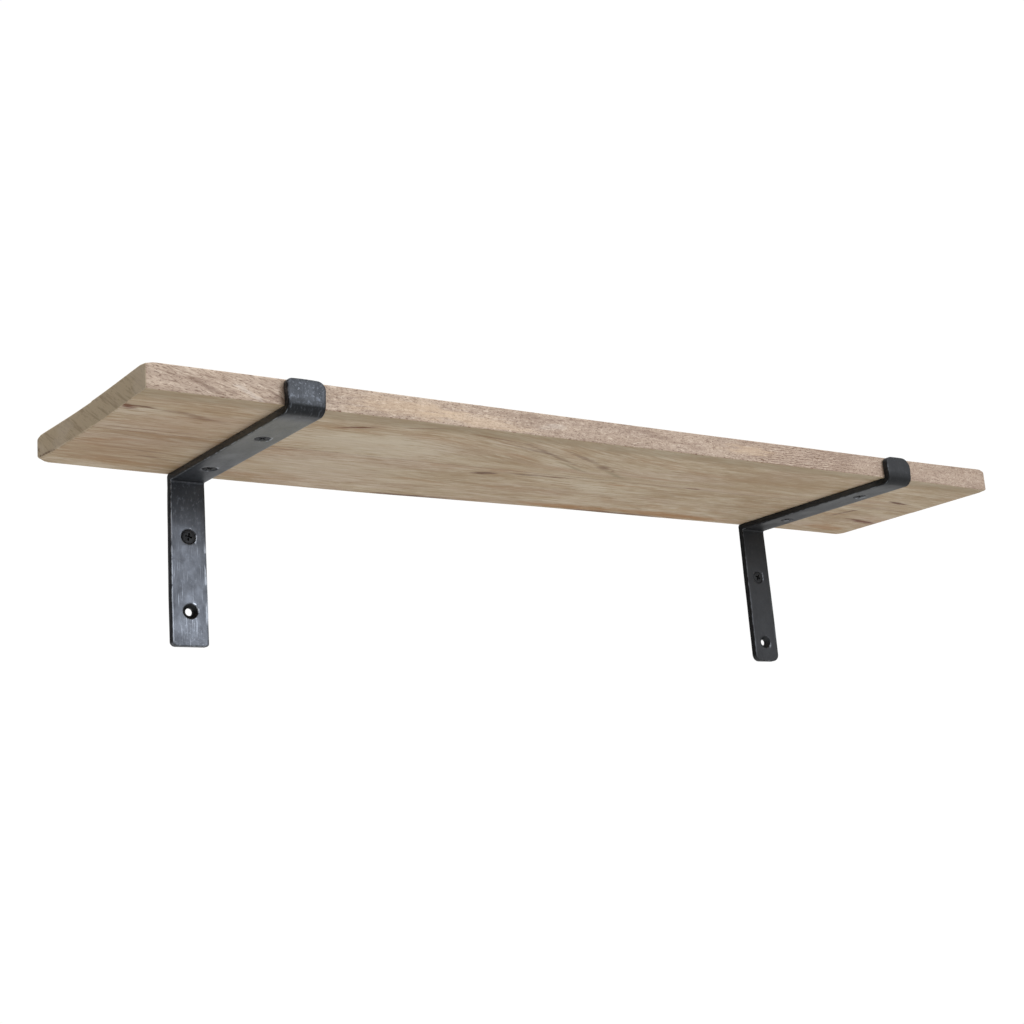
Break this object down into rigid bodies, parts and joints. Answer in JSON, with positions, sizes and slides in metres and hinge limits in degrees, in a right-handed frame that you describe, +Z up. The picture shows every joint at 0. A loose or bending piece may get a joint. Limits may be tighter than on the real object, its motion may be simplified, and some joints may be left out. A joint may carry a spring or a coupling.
{
  "type": "wall shelf with brackets",
  "caption": "Wooden wall shelf board carried by bent flat-bar steel brackets with a front lip, an arm under the board and a leg down the wall.",
  "frame": {"origin": "on the wall plane, midway along the board's back edge, at the level of the board's underside", "axes": "+X along the board to the right as seen from the room, +Y into the wall, +Z up"},
  "size_m": [0.8799, 0.2209, 0.162],
  "materials": {
    "board_wood": "sanded, oiled matt, open pores",
    "bracket_steel": "blackened and waxed flat bar, worn bright along its edges",
    "screw_steel": "black phosphated, satin"
  },
  "bodies": {
    "root": {"front_plank": "board_wood", "rear_plank": "board_wood", "left_bracket": "bracket_steel", "right_bracket": "bracket_steel", "left_front_screw": "screw_steel", "left_rear_screw": "screw_steel", "left_wall_screw": "screw_steel", "right_front_screw": "screw_steel", "right_rear_screw": "screw_steel", "right_wall_screw": "screw_steel"}
  },
  "joints": []
}
